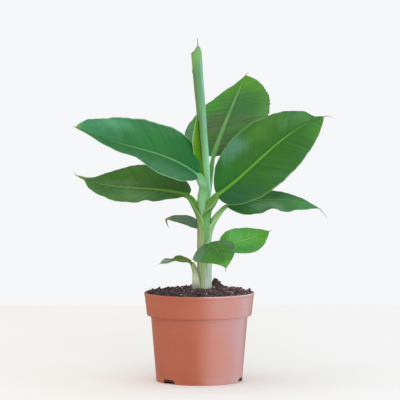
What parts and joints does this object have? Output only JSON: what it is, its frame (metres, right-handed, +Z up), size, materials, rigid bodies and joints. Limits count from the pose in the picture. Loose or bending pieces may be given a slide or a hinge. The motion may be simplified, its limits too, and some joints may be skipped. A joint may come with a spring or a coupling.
{
  "type": "potted banana plant",
  "caption": "Young banana plant with broad paddle leaves on a sheathed false stem and one rolled new leaf, in a round plastic nursery pot of soil.",
  "frame": {"origin": "centre of the pot's flat underside", "axes": "+Z up along the pot's axis, +X towards the plant's right with the widest spread of leaves along X, +Y towards its back"},
  "size_m": [0.2837, 0.1993, 0.375],
  "materials": {
    "terracotta_plastic": "satin terracotta-coloured plastic",
    "soil": "dark crumbly potting mix",
    "stem_green": "pale green overlapping sheaths, satin",
    "stalk_green": "green leaf stalk, satin",
    "young_leaf": "pale rolled leaf, waxy satin",
    "leaf_green": "mid to deep green leaf, semi-gloss"
  },
  "bodies": {
    "root": {"pot": "terracotta_plastic", "soil": "soil", "pseudostem": "stem_green", "furled_leaf": "young_leaf", "leaf_high_left": "leaf_green", "stalk_high_left": "stalk_green", "leaf_low_left": "leaf_green", "stalk_low_left": "stalk_green", "leaf_back_right": "leaf_green", "stalk_back_right": "stalk_green", "leaf_big_right": "leaf_green", "stalk_big_right": "stalk_green", "leaf_drooping_right": "leaf_green", "stalk_drooping_right": "stalk_green", "leaf_small_left": "leaf_green", "stalk_small_left": "stalk_green", "leaf_sprout_left": "leaf_green", "stalk_sprout_left": "stalk_green", "leaf_small_front": "leaf_green", "stalk_small_front": "stalk_green", "leaf_small_right": "leaf_green", "stalk_small_right": "stalk_green"}
  },
  "joints": []
}
